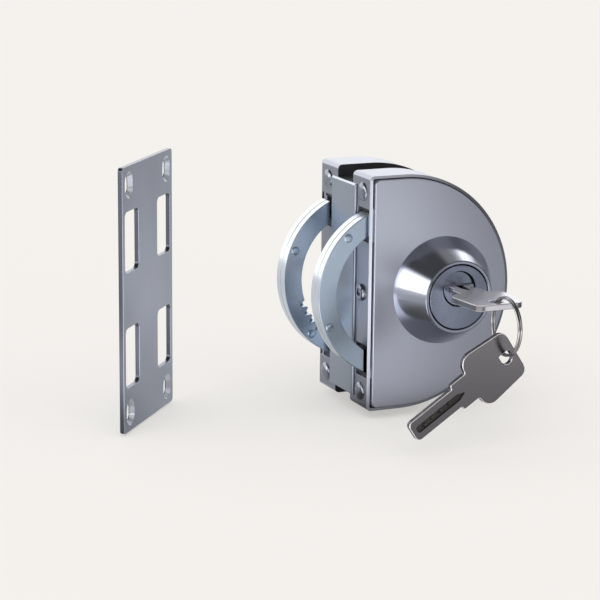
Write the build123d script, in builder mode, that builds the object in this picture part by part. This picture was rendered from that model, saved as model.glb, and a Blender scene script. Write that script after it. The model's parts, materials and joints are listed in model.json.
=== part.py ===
from build123d import *
from math import acos, asin, cos, pi, radians, sin, sqrt, tan
import os

os.makedirs("parts", exist_ok=True)

# The lock sits on the edge of a glass door: X runs into the glass from the
# edge seat, Y across the door from front to rear, Z up from mid height.
# Glass slot
glass_thickness = 10.0
slot_width = 15.0
pad_thickness = 1.2
clamp_plate_thickness = 1.0
edge_x = -12.0
buffer_thickness = 2.0
buffer_width = 9.6
buffer_inset = 2.0
clamp_plate_left = 0.4
pad_left = 0.8
sheet_half_height = 44.0
sheet_middle_x = 20.0
sheet_far_x = 47.0
sheet_far_half_height = 20.0

# Half-round cases, one in front of the slot and one behind it
half_thickness = 17.0
case_radius = 50.0
flat_length = 15.5
case_wall = 1.2
case_floor = 1.5
case_corner = 2.0
cover_inset = 2.0
cover_corner = 3.0
cover_proud = 1.5
cover_back = 2.2
cover_edge = 0.7
window_front = 1.0
window_depth = 11.0
window_height = 14.0
window_z = 29.0

# Key cylinder and its cone
cylinder_from_edge = 33.6
cylinder_radius = 13.5
cylinder_face_proud = 16.5
cylinder_back = 1.0
cone_radius = 23.0
cone_top_radius = 15.3
cone_gap = 0.4
plug_radius = 7.25
plug_rise = 3.5
plug_fit = 0.05
plug_sunk = 0.3
keyway_end = 2.6
moon_depth = 1.2
moon_rise = 1.6
tail_width = 6.0
tail_end = 10.6
pin_radius = 1.1
pin_count = 5
pin_pitch = 3.0
first_pin = -13.6
pin_tip_rise = 0.8
shear_gap = 0.12
driver_length = 2.6
spring_length = 3.4
spring_radius = 0.95

# Gear pair: a pinion on each plug turns the toothed inner edge of a crescent bolt
gear_module = 1.35
ring_teeth = 44
pinion_teeth = 16
pressure_angle = radians(25)
pinion_tip_rise = 1.25
pinion_root_drop = 1.7
ring_tip_rise = 1.3
ring_root_drop = 1.7
flank_play = 0.06
cut_spaces = 19
pinion_front = 6.8
pinion_width = 3.4

# Crescent bolt
bolt_rim = 5.3
bolt_front = 2.5
bolt_plate_thickness = 4.0
channel_gap = 0.3
channel_bottom = 10.8
tip_overhang = 0.6
root_inside = 0.25
bolt_rivet_radius = 1.9
bolt_rivet_sides = 12
bolt_rivet_inset = 2.8

# Fasteners, and how many sides the hidden shanks, pins and their holes have
hidden_sides = 8
set_screw_radius = 2.5
set_screw_circle = 43.0
set_screw_front = 9.0
set_screw_socket = 1.4
cover_screw_radius = 1.5
cover_screw_inset = 8.0
cover_screw_top = -0.5
small_screw_radius = 1.25
cylinder_screw_reach = 6.0
bridge_screw_radius = 2.0
bridge_screw_reach = 6.5
edge_rivet_head = 4.0
edge_rivet_rise = 1.4
edge_rivet_z = 42.6
edge_screw_head = 3.65
edge_screw_rise = 1.4
edge_socket = 1.9
edge_socket_depth = 1.1
edge_fixing_depth = 7.3
edge_fixing_sides = 16

# Bridge between the two halves
bridge_gap = 0.9
bridge_proud = 1.2
bridge_edge = 0.6
bridge_top = 45.0
bridge_bottom = -46.0
bridge_screw_heights = (-30.0, 30.0)

# Keys and split ring
key_length = 54.0
key_thickness = 2.6
blade_length = 23.0
blade_width = 9.0
neck_length = 8.2
neck_width = 12.5
bow_width = 25.6
bow_end_width = 21.0
key_hole_radius = 2.5
key_hole_from_end = 4.9
groove_width = 3.0
groove_depth = 0.7
key_tip = 2.0
keyway_play = 0.15
ring_mean_radius = 11.5
ring_wire_width = 0.9
ring_wire_height = 1.2
ring_pitch = 1.35
ring_turns = 1.95
ring_arcs = 4
ring_start = radians(152)
ring_drop = 6.9
ring_slack = 0.6
spare_key_tilt = radians(33.2)

# Strike plate
strike_width = 56.0
strike_height = 110.0
strike_thickness = 2.0
strike_window_width = 15.0
strike_window_height = 25.0
strike_window_across = 36.0
strike_window_up = 48.0
strike_slot_across = 42.0
strike_slot_up = 94.4
strike_slot_width = 5.2
strike_slot_length = 7.7
strike_sink_width = 9.0
strike_sink_length = 11.5
strike_sink_depth = 1.0
strike_centre = (-96.1, 11.05, 2.2)
strike_turn = radians(48.9)

# Places that follow from the sizes above
lock_half = slot_width / 2 + half_thickness
arc_x = edge_x + flat_length
plug_x = edge_x + cylinder_from_edge
centre_distance = gear_module * (ring_teeth - pinion_teeth) / 2
bolt_x = plug_x - sqrt(centre_distance**2 - plug_rise**2)
mesh_angle = asin(plug_rise / centre_distance)
ring_pitch_radius = gear_module * ring_teeth / 2
pinion_pitch_radius = gear_module * pinion_teeth / 2
pinion_tip_radius = pinion_pitch_radius + pinion_tip_rise
pinion_root_radius = pinion_pitch_radius - pinion_root_drop
bolt_inner_radius = ring_pitch_radius - ring_tip_rise
ring_root_radius = ring_pitch_radius + ring_root_drop
bolt_outer_radius = ring_root_radius + bolt_rim
bolt_rivet_circle = bolt_outer_radius - bolt_rivet_inset
ring_step = 2 * pi / ring_teeth
pinion_step = 2 * pi / pinion_teeth
bolt_throw = 360.0 * pinion_teeth / ring_teeth
bolt_middle = bolt_front + bolt_plate_thickness
bolt_back = bolt_front + 2 * bolt_plate_thickness
pin_depths = [first_pin + pin_pitch * i for i in range(pin_count)]
plug_front = plug_sunk - cylinder_face_proud
keyway_floor = plug_rise - key_thickness / 2 - keyway_play
shear_z = plug_rise - plug_radius
driver_top = shear_z - shear_gap
spring_low = driver_top - driver_length - spring_length
case_inside = half_thickness - case_floor
bridge_screw_x = edge_x + 5.0
# the bridge stays clear of the bolt windows
bridge_half_width = lock_half - window_front - window_depth - bridge_gap
# on the edge plane the first direction runs from rear to front
edge_plane = Plane(origin=(edge_x, 0, 0), x_dir=(0, -1, 0), z_dir=(-1, 0, 0))
fixing_y = lock_half - edge_fixing_depth
set_screw_places = [
    (arc_x + set_screw_circle * cos(radians(a)), set_screw_circle * sin(radians(a)))
    for a in (-60, 0, 60)
]
cover_screw_places = [
    (arc_x + set_screw_circle * cos(radians(a)), set_screw_circle * sin(radians(a)))
    for a in (-30, 30)
] + [(edge_x + cover_screw_inset, 0.0)]
cylinder_screw_places = [(plug_x - 5.1, -10.0), (plug_x + 4.4, -10.0)]
bolt_rivet_angles = (134.0, 202.0)
key_hole_y = key_tip - lock_half - key_length + key_hole_from_end
ring_centre_z = plug_rise - ring_drop
ring_centre_y = key_hole_y - sqrt(ring_mean_radius**2 - ring_drop**2)


def at_depth(depth):
    # a plane that faces the front, a depth behind the front rim
    return Plane(origin=(0, depth - lock_half, 0), x_dir=(1, 0, 0), z_dir=(0, -1, 0))


def round_bar(x, z, front, back, radius, mode=Mode.ADD):
    # a bar along Y between two depths
    with BuildSketch(at_depth(front)) as end:
        with Locations((x, z)):
            Circle(radius)
    extrude(end.sketch, amount=front - back, mode=mode)


def hidden_bar(x, z, front, back, radius, mode=Mode.ADD):
    # the same with few sides, for a shank or a hole that nothing shows
    with BuildSketch(at_depth(front)) as end:
        with Locations((x, z)):
            RegularPolygon(radius, hidden_sides)
    extrude(end.sketch, amount=front - back, mode=mode)


def upright_pin(depth, low, high, radius=pin_radius, mode=Mode.ADD):
    # a pin of the cylinder, or its chamber, between two heights
    with BuildSketch(Plane.XY.offset(low)) as end:
        with Locations((plug_x, depth - lock_half)):
            RegularPolygon(radius, hidden_sides)
    extrude(end.sketch, amount=high - low, mode=mode)


def half_round(inset, corner, left=None, mode=Mode.ADD):
    # the outline of the case moved in by a distance
    side = edge_x + inset if left is None else left
    top = case_radius - inset
    with BuildLine() as outline:
        FilletPolyline((arc_x, top), (side, top), (side, -top), (arc_x, -top), radius=corner)
        ThreePointArc((arc_x, -top), (arc_x + top, 0), (arc_x, top))
    make_face(outline.edges(), mode=mode)


def involute(radius, pitch_radius):
    # how far an involute flank leans at a radius, against the pitch circle
    angle = acos(min(1.0, pitch_radius * cos(pressure_angle) / radius))
    return tan(angle) - angle - (tan(pressure_angle) - pressure_angle)


def bolt_point(radius, angle):
    return (bolt_x + radius * cos(angle), radius * sin(angle))


def ring_space(number):
    # one tooth space of the bolt, opened past its inner edge
    middle = mesh_angle + ring_step * number
    radii = [bolt_inner_radius + (ring_root_radius - bolt_inner_radius) * i / 2 for i in range(3)]
    halves = [ring_step / 4 - involute(r, ring_pitch_radius) for r in radii]
    corners = [bolt_point(bolt_inner_radius - 1, middle - halves[0])]
    corners += [bolt_point(r, middle - h) for r, h in zip(radii, halves)]
    corners += [bolt_point(r, middle + h) for r, h in zip(reversed(radii), reversed(halves))]
    corners += [bolt_point(bolt_inner_radius - 1, middle + halves[0])]
    Polygon(*corners, align=None, mode=Mode.SUBTRACT)


def pinion_outline():
    base = pinion_pitch_radius * cos(pressure_angle)
    radii = [pinion_root_radius] + [base + (pinion_tip_radius - base) * i / 2 for i in range(3)]
    play = flank_play / pinion_pitch_radius
    halves = [pinion_step / 4 - involute(max(r, base), pinion_pitch_radius) - play for r in radii]
    corners = []
    for number in range(pinion_teeth):
        middle = mesh_angle + pinion_step * number
        corners += [(r * cos(middle - h), r * sin(middle - h)) for r, h in zip(radii, halves)]
        corners += [
            (r * cos(middle + h), r * sin(middle + h))
            for r, h in zip(reversed(radii), reversed(halves))
        ]
    with Locations((plug_x, plug_rise)):
        Polygon(*corners, align=None)


def turned(x, z, degrees_back):
    # a point of the drawn-back bolt moved round to the thrown place
    a = radians(degrees_back)
    return (bolt_x + x * cos(a) - z * sin(a), x * sin(a) + z * cos(a))


def crescent():
    # thrown bolt: the root end stays in the case, the tip stops at the lower window
    with Locations((bolt_x, 0)):
        Circle(bolt_outer_radius)
        Circle(bolt_inner_radius, mode=Mode.SUBTRACT)
    root = edge_x + root_inside - bolt_x
    tip = edge_x - tip_overhang
    Polygon(
        (bolt_x, 0),
        turned(root, -20, bolt_throw),
        turned(root, -50, bolt_throw),
        (bolt_x + 60, -60),
        (tip, -60),
        (tip, -20),
        align=None,
        mode=Mode.SUBTRACT,
    )


def bolt_rivet_spots():
    return [bolt_point(bolt_rivet_circle, radians(a)) for a in bolt_rivet_angles]


def key_shape(place):
    # a flat key drawn from its tip along the X direction of a plane
    with BuildSketch(place.offset(-key_thickness / 2)) as blank:
        with Locations((blade_length / 2 + 1, 0)):
            RectangleRounded(blade_length + 2, blade_width, 1.0)
        with Locations((blade_length + neck_length / 2 + 1, 0)):
            Rectangle(neck_length + 2, neck_width)
        bow_start = blade_length + neck_length
        with BuildSketch(mode=Mode.PRIVATE) as bow:
            Polygon(
                (bow_start, -bow_width / 2),
                (key_length, -bow_end_width / 2),
                (key_length, bow_end_width / 2),
                (bow_start, bow_width / 2),
                align=None,
            )
            corners = bow.vertices().sort_by(Axis.X)
            fillet(corners[:2], 5.5)
            fillet(bow.vertices().sort_by(Axis.X)[-2:], 3.5)
        add(bow.sketch)
        with Locations((key_length - key_hole_from_end, 0)):
            Circle(key_hole_radius, mode=Mode.SUBTRACT)
    extrude(blank.sketch, amount=key_thickness)
    for side in (1, -1):
        with BuildSketch(place.offset(side * key_thickness / 2)) as groove:
            with Locations(((blade_length + 3) / 2, 0)):
                Rectangle(blade_length + 3, groove_width)
        extrude(groove.sketch, amount=-side * groove_depth, mode=Mode.SUBTRACT)


def cut_sheet(left):
    # a sheet cut along straight lines inside the outline of the case
    Polygon(
        (left, -sheet_half_height),
        (sheet_middle_x, -sheet_half_height),
        (sheet_far_x, -sheet_far_half_height),
        (sheet_far_x, sheet_far_half_height),
        (sheet_middle_x, sheet_half_height),
        (left, sheet_half_height),
        align=None,
    )


# Front case: a half-round body with a recess for the cover, the ring channel of the bolt,
# the pocket of the pinion and two windows in its straight edge
with BuildPart() as front_case:
    with BuildSketch(at_depth(0)):
        half_round(0, case_corner)
    extrude(amount=-half_thickness)
    with BuildSketch(at_depth(0)):
        half_round(case_wall, case_corner - case_wall)
    extrude(amount=-cover_back, mode=Mode.SUBTRACT)
    with BuildSketch(at_depth(cover_back)):
        with Locations((bolt_x, 0)):
            Circle(bolt_outer_radius + channel_gap)
            Circle(bolt_inner_radius - channel_gap, mode=Mode.SUBTRACT)
        with Locations((plug_x, plug_rise)):
            Circle(pinion_tip_radius + channel_gap)
        half_round(case_wall, case_corner - case_wall, mode=Mode.INTERSECT)
    extrude(amount=cover_back - channel_bottom, mode=Mode.SUBTRACT)
    with Locations([(edge_x, window_front + window_depth / 2 - lock_half, s * window_z) for s in (1, -1)]):
        Box(2 * case_wall, window_depth, window_height, mode=Mode.SUBTRACT)
    for x, z in set_screw_places:
        hidden_bar(x, z, cover_back, half_thickness, set_screw_radius, Mode.SUBTRACT)
    for x, z in cover_screw_places:
        hidden_bar(x, z, cover_back, case_inside, cover_screw_radius, Mode.SUBTRACT)
        hidden_bar(x, z, case_inside, half_thickness, 2 * cover_screw_radius, Mode.SUBTRACT)
    for z in bridge_screw_heights:
        hidden_bar(bridge_screw_x, z, case_inside, half_thickness, 2 * bridge_screw_radius, Mode.SUBTRACT)
front_case.part.label = "front_case"
export_step(front_case.part, "parts/front_case.step")

# Cover: the satin face plate, a little proud of the rim, that keeps bolt and pinion in the case
with BuildPart() as front_cover:
    with BuildSketch(at_depth(-cover_proud)):
        half_round(cover_inset, cover_corner)
    extrude(amount=-(cover_proud + cover_back))
    chamfer(front_cover.faces().sort_by(Axis.Y)[0].outer_wire().edges(), cover_edge)
    round_bar(plug_x, 0, -cover_proud, cylinder_back, cylinder_radius, Mode.SUBTRACT)
    round_bar(plug_x, plug_rise, cylinder_back, cover_back, plug_radius + channel_gap, Mode.SUBTRACT)
    for x, z in cover_screw_places:
        hidden_bar(x, z, cover_screw_top, cover_back, cover_screw_radius, Mode.SUBTRACT)
    for x, z in cylinder_screw_places:
        hidden_bar(x, z, cylinder_back, cover_back, 2 * small_screw_radius, Mode.SUBTRACT)
front_cover.part.label = "front_cover"
export_step(front_cover.part, "parts/front_cover.step")

# Cover screws: driven from the glass side through the case
with BuildPart() as front_cover_screws:
    for x, z in cover_screw_places:
        hidden_bar(x, z, cover_screw_top, case_inside, cover_screw_radius)
        hidden_bar(x, z, case_inside, half_thickness, 2 * cover_screw_radius)
front_cover_screws.part.label = "front_cover_screws"
export_step(front_cover_screws.part, "parts/front_cover_screws.step")

# Cone: the polished collar round the cylinder
with BuildPart() as front_cone:
    with BuildSketch(Plane(origin=(plug_x, -lock_half, 0), z_dir=(0, 0, -1), x_dir=(1, 0, 0))):
        Polygon(
            (cylinder_radius + cone_gap, cover_proud),
            (cone_radius, cover_proud),
            (cone_top_radius, cylinder_face_proud),
            (cylinder_radius + cone_gap, cylinder_face_proud),
            align=None,
        )
    revolve(axis=Axis((plug_x, 0, 0), (0, 1, 0)))
front_cone.part.label = "front_cone"
export_step(front_cone.part, "parts/front_cone.step")

# Cylinder body with the plug bore above its middle and the pin chambers below
with BuildPart() as front_cylinder_body:
    round_bar(plug_x, 0, -cylinder_face_proud, cylinder_back, cylinder_radius)
    round_bar(plug_x, plug_rise, -cylinder_face_proud, cylinder_back, plug_radius + plug_fit, Mode.SUBTRACT)
    for depth in pin_depths:
        upright_pin(depth, spring_low, shear_z, mode=Mode.SUBTRACT)
    for x, z in cylinder_screw_places:
        hidden_bar(x, z, -cylinder_screw_reach, cylinder_back, small_screw_radius, Mode.SUBTRACT)
front_cylinder_body.part.label = "front_cylinder_body"
export_step(front_cylinder_body.part, "parts/front_cylinder_body.step")

# Cylinder screws: hold the cylinder to the cover from behind
with BuildPart() as front_cylinder_screws:
    for x, z in cylinder_screw_places:
        hidden_bar(x, z, -cylinder_screw_reach, cylinder_back, small_screw_radius)
        hidden_bar(x, z, cylinder_back, cover_back, 2 * small_screw_radius)
front_cylinder_screws.part.label = "front_cylinder_screws"
export_step(front_cylinder_screws.part, "parts/front_cylinder_screws.step")

# Plug: turns with the key, with a square tail that carries the pinion
with BuildPart() as front_plug:
    round_bar(plug_x, plug_rise, plug_front, pinion_front, plug_radius)
    with BuildSketch(at_depth(pinion_front)):
        with Locations((plug_x, plug_rise)):
            Rectangle(tail_width, tail_width)
    extrude(amount=pinion_front - tail_end)
    with BuildSketch(at_depth(plug_front)):
        with Locations((plug_x, plug_rise)):
            Rectangle(blade_width + 2 * keyway_play, key_thickness + 2 * keyway_play)
    extrude(amount=plug_front - keyway_end, mode=Mode.SUBTRACT)
    with BuildSketch(at_depth(plug_front)):
        with Locations((plug_x, plug_rise + moon_rise)):
            Rectangle(3 * plug_radius, 2 * plug_radius, align=(Align.CENTER, Align.MIN))
    extrude(amount=-moon_depth, mode=Mode.SUBTRACT)
    for depth in pin_depths:
        upright_pin(depth, plug_rise - 2 * plug_radius, plug_rise, mode=Mode.SUBTRACT)
front_plug.part.label = "front_plug"
export_step(front_plug.part, "parts/front_plug.step")

# Key pins: stand in the plug with their tips up into the groove of the key
with BuildPart() as front_key_pins:
    for depth in pin_depths:
        upright_pin(depth, shear_z + shear_gap, keyway_floor + pin_tip_rise)
front_key_pins.part.label = "front_key_pins"
export_step(front_key_pins.part, "parts/front_key_pins.step")

# Driver pins, and the springs that push them up from the closed ends of their chambers
with BuildPart() as front_driver_pins:
    for depth in pin_depths:
        upright_pin(depth, driver_top - driver_length, driver_top)
front_driver_pins.part.label = "front_driver_pins"
export_step(front_driver_pins.part, "parts/front_driver_pins.step")

with BuildPart() as front_pin_springs:
    for depth in pin_depths:
        upright_pin(depth, spring_low, spring_low + spring_length, spring_radius)
        upright_pin(depth, spring_low, spring_low + spring_length, spring_radius - 0.3, Mode.SUBTRACT)
front_pin_springs.part.label = "front_pin_springs"
export_step(front_pin_springs.part, "parts/front_pin_springs.step")

# Pinion on the tail of the plug
with BuildPart() as front_pinion:
    with BuildSketch(at_depth(pinion_front)):
        pinion_outline()
        with Locations((plug_x, plug_rise)):
            Rectangle(tail_width, tail_width, mode=Mode.SUBTRACT)
    extrude(amount=-pinion_width)
front_pinion.part.label = "front_pinion"
export_step(front_pinion.part, "parts/front_pinion.step")

# Crescent bolt: a smooth outer plate riveted to a toothed plate
with BuildPart() as front_bolt_plate:
    with BuildSketch(at_depth(bolt_front)):
        crescent()
        with Locations(bolt_rivet_spots()):
            RegularPolygon(bolt_rivet_radius, bolt_rivet_sides, mode=Mode.SUBTRACT)
    extrude(amount=-bolt_plate_thickness)
front_bolt_plate.part.label = "front_bolt_plate"
export_step(front_bolt_plate.part, "parts/front_bolt_plate.step")

with BuildPart() as front_toothed_plate:
    with BuildSketch(at_depth(bolt_middle)):
        crescent()
        for number in range(cut_spaces):
            ring_space(number)
        with Locations(bolt_rivet_spots()):
            RegularPolygon(bolt_rivet_radius, bolt_rivet_sides, mode=Mode.SUBTRACT)
    extrude(amount=-bolt_plate_thickness)
front_toothed_plate.part.label = "front_toothed_plate"
export_step(front_toothed_plate.part, "parts/front_toothed_plate.step")

with BuildPart() as front_bolt_rivets:
    with BuildSketch(at_depth(bolt_front)):
        with Locations(bolt_rivet_spots()):
            RegularPolygon(bolt_rivet_radius, bolt_rivet_sides)
    extrude(amount=-2 * bolt_plate_thickness)
front_bolt_rivets.part.label = "front_bolt_rivets"
export_step(front_bolt_rivets.part, "parts/front_bolt_rivets.step")

# Set screws press the clamp plate and its pad on the glass
pad_face = lock_half - glass_thickness / 2
clamp_plate_front = pad_face - pad_thickness - clamp_plate_thickness
with BuildPart() as front_set_screws:
    for x, z in set_screw_places:
        hidden_bar(x, z, set_screw_front, clamp_plate_front, set_screw_radius)
        with BuildSketch(at_depth(set_screw_front)) as socket:
            with Locations((x, z)):
                RegularPolygon(set_screw_socket, 6)
        extrude(socket.sketch, amount=-2 * set_screw_socket, mode=Mode.SUBTRACT)
front_set_screws.part.label = "front_set_screws"
export_step(front_set_screws.part, "parts/front_set_screws.step")

with BuildPart() as front_clamp_plate:
    with BuildSketch(at_depth(clamp_plate_front)):
        cut_sheet(clamp_plate_left)
    extrude(amount=-clamp_plate_thickness)
front_clamp_plate.part.label = "front_clamp_plate"
export_step(front_clamp_plate.part, "parts/front_clamp_plate.step")

with BuildPart() as front_glass_pad:
    with BuildSketch(at_depth(pad_face - pad_thickness)):
        cut_sheet(pad_left)
    extrude(amount=-pad_thickness)
front_glass_pad.part.label = "front_glass_pad"
export_step(front_glass_pad.part, "parts/front_glass_pad.step")

# Fixings seen on the straight edge: two dome rivets and one socket screw
with BuildPart() as front_edge_rivets:
    for z in (-edge_rivet_z, edge_rivet_z):
        with BuildSketch(edge_plane):
            with Locations((fixing_y, z)):
                RegularPolygon(edge_rivet_head, edge_fixing_sides)
        extrude(amount=edge_rivet_rise)
front_edge_rivets.part.label = "front_edge_rivets"
export_step(front_edge_rivets.part, "parts/front_edge_rivets.step")

with BuildPart() as front_edge_screw:
    with BuildSketch(edge_plane):
        with Locations((fixing_y, 0)):
            RegularPolygon(edge_screw_head, edge_fixing_sides)
    extrude(amount=edge_screw_rise)
    with BuildSketch(edge_plane.offset(edge_screw_rise)):
        with Locations((fixing_y, 0)):
            RegularPolygon(edge_socket, 6)
    extrude(amount=-edge_socket_depth, mode=Mode.SUBTRACT)
front_edge_screw.part.label = "front_edge_screw"
export_step(front_edge_screw.part, "parts/front_edge_screw.step")

# The rear half is the front half turned over about the X axis
front_parts = [
    front_case,
    front_cover,
    front_cover_screws,
    front_cone,
    front_cylinder_body,
    front_cylinder_screws,
    front_plug,
    front_key_pins,
    front_driver_pins,
    front_pin_springs,
    front_pinion,
    front_bolt_plate,
    front_toothed_plate,
    front_bolt_rivets,
    front_set_screws,
    front_clamp_plate,
    front_glass_pad,
    front_edge_rivets,
    front_edge_screw,
]
for front in front_parts:
    rear_name = front.part.label.replace("front", "rear")
    with BuildPart() as rear:
        add(front.part, rotation=(180, 0, 0))
    rear.part.label = rear_name
    export_step(rear.part, "parts/" + rear_name + ".step")

# Bridge: ties the halves, with a block between them that the glass edge meets
bridge_middle = (bridge_top + bridge_bottom) / 2
bridge_height = bridge_top - bridge_bottom
rear_floor = half_thickness + slot_width
with BuildPart() as bridge:
    with Locations((edge_x - bridge_proud, 0, bridge_middle)):
        Box(
            bridge_proud,
            2 * bridge_half_width,
            bridge_height,
            align=(Align.MIN, Align.CENTER, Align.CENTER),
        )
    chamfer(bridge.faces().sort_by(Axis.X)[0].edges(), bridge_edge)
    with Locations((edge_x, 0, bridge_middle)):
        Box(
            -edge_x - buffer_thickness,
            slot_width,
            bridge_height,
            align=(Align.MIN, Align.CENTER, Align.CENTER),
        )
    for z in bridge_screw_heights:
        hidden_bar(
            bridge_screw_x, z, half_thickness, lock_half + slot_width / 2, bridge_screw_radius, Mode.SUBTRACT
        )
bridge.part.label = "bridge"
export_step(bridge.part, "parts/bridge.step")

# Bridge screws: from inside each case into the bridge block
with BuildPart() as bridge_screws:
    for z in bridge_screw_heights:
        for floor, inside, tip in (
            (half_thickness, case_inside, half_thickness + bridge_screw_reach),
            (rear_floor, rear_floor + case_floor, rear_floor - bridge_screw_reach),
        ):
            hidden_bar(bridge_screw_x, z, inside, floor, 2 * bridge_screw_radius)
            hidden_bar(bridge_screw_x, z, floor, tip, bridge_screw_radius)
bridge_screws.part.label = "bridge_screws"
export_step(bridge_screws.part, "parts/bridge_screws.step")

with BuildPart() as edge_buffer:
    with Locations((-buffer_thickness, 0, bridge_middle)):
        Box(
            buffer_thickness,
            buffer_width,
            bridge_height - 2 * buffer_inset,
            align=(Align.MIN, Align.CENTER, Align.CENTER),
        )
edge_buffer.part.label = "edge_buffer"
export_step(edge_buffer.part, "parts/edge_buffer.step")

# Keys: one in the front plug, one spare on the split ring
key_in_lock_place = Plane(
    origin=(plug_x, key_tip - lock_half, plug_rise), x_dir=(0, -1, 0), z_dir=(0, 0, 1)
)
with BuildPart() as key_in_lock:
    key_shape(key_in_lock_place)
key_in_lock.part.label = "key_in_lock"
export_step(key_in_lock.part, "parts/key_in_lock.step")

spare_hole_z = ring_centre_z - ring_mean_radius + ring_wire_height / 2 + ring_slack - key_hole_radius
spare_reach = key_length - key_hole_from_end
spare_key_place = Plane(
    origin=(
        plug_x - spare_reach * cos(spare_key_tilt),
        ring_centre_y,
        spare_hole_z - spare_reach * sin(spare_key_tilt),
    ),
    x_dir=(cos(spare_key_tilt), 0, sin(spare_key_tilt)),
    z_dir=(0, -1, 0),
)
with BuildPart() as spare_key:
    key_shape(spare_key_place)
spare_key.part.label = "spare_key"
export_step(spare_key.part, "parts/spare_key.step")

# Split ring: one flat wire wound nearly twice round


def ring_point(turn):
    angle = ring_start + 2 * pi * turn
    return (
        plug_x + ring_pitch * (turn - ring_turns / 2),
        ring_centre_y + ring_mean_radius * cos(angle),
        ring_centre_z + ring_mean_radius * sin(angle),
    )


with BuildPart() as key_ring:
    arc_turn = ring_turns / ring_arcs
    with BuildLine() as coil:
        for i in range(ring_arcs):
            ThreePointArc(
                ring_point(i * arc_turn), ring_point((i + 0.5) * arc_turn), ring_point((i + 1) * arc_turn)
            )
    outward = (0, cos(ring_start), sin(ring_start))
    with BuildSketch(Plane(origin=coil.line @ 0, x_dir=outward, z_dir=coil.line % 0)):
        Rectangle(ring_wire_height, ring_wire_width)
    sweep()
key_ring.part.label = "key_ring"
export_step(key_ring.part, "parts/key_ring.step")

ring_samples = [coil.line @ (i / 400) for i in range(401)]
ring_gap = min((a - b).length for i, a in enumerate(ring_samples) for b in ring_samples[i + 100 :])
ring_gap -= ring_wire_width
print("least gap between the turns of the ring", round(ring_gap, 3), "mm")

# Strike plate: each bolt goes out through one window of a row and back by the other
strike_face = Plane(
    origin=strike_centre,
    x_dir=(cos(strike_turn), sin(strike_turn), 0),
    z_dir=(sin(strike_turn), -cos(strike_turn), 0),
)
slot_spots = [
    (sx * strike_slot_across / 2, sz * strike_slot_up / 2) for sx in (-1, 1) for sz in (-1, 1)
]
with BuildPart() as strike_plate:
    with BuildSketch(strike_face):
        Rectangle(strike_width, strike_height)
        with GridLocations(strike_window_across, strike_window_up, 2, 2):
            RectangleRounded(strike_window_width, strike_window_height, 1.5, mode=Mode.SUBTRACT)
        with Locations(slot_spots):
            SlotOverall(strike_slot_length, strike_slot_width, rotation=90, mode=Mode.SUBTRACT)
    extrude(amount=-strike_thickness)
    with BuildSketch(strike_face):
        with Locations(slot_spots):
            SlotOverall(strike_sink_length, strike_sink_width, rotation=90)
    extrude(amount=-strike_sink_depth, mode=Mode.SUBTRACT)
strike_plate.part.label = "strike_plate"
export_step(strike_plate.part, "parts/strike_plate.step")
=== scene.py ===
import bpy, bmesh, json
from math import acos, asin, atan2, cos, hypot, pi, radians, sin, tan
from mathutils import Matrix, Vector

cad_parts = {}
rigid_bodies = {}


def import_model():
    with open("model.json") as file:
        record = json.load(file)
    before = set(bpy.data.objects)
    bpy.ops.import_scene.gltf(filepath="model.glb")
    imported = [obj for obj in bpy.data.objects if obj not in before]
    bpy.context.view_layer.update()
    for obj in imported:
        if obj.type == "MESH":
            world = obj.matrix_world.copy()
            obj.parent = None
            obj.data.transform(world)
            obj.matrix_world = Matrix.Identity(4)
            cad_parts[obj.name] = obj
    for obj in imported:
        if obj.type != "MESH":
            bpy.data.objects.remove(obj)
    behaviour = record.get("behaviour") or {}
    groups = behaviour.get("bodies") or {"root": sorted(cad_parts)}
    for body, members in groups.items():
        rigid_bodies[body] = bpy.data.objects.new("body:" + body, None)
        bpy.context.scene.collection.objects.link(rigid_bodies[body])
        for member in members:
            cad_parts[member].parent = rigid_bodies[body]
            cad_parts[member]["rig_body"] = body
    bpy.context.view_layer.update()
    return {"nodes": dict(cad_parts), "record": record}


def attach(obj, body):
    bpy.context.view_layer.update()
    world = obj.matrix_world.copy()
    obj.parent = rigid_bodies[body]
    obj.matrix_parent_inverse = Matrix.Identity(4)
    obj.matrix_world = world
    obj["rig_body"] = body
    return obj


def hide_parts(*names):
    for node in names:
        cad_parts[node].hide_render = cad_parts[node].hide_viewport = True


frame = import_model()
mm = 0.001
scene = bpy.context.scene
print("frame loaded:", len(frame["nodes"]), "nodes")

# sizes that several pieces share, in mm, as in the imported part: edge, arc, plug and ringX lie along X,
# half is from the middle of the glass to a case's face, and rise is from the cylinder's axis to the plug's
lock = {"edge": -12.0, "arc": 3.5, "radius": 50.0, "half": 24.5, "plug": 21.6, "rise": 3.5, "ringX": 3.0269}
sides = ("front", "rear")


class Wire:
    # one output of a shader tree, so that sums read as sums
    def __init__(self, finish, socket):
        self.finish, self.socket = finish, socket

    def math(self, operation, first, second):
        return self.finish.add("ShaderNodeMath", {"operation": operation}, {0: first, 1: second})

    def __add__(self, other):
        return self.math("ADD", self, other)

    def __radd__(self, other):
        return self.math("ADD", other, self)

    def __sub__(self, other):
        return self.math("SUBTRACT", self, other)

    def __rsub__(self, other):
        return self.math("SUBTRACT", other, self)

    def __mul__(self, other):
        return self.math("MULTIPLY", self, other)

    def __rmul__(self, other):
        return self.math("MULTIPLY", other, self)


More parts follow.
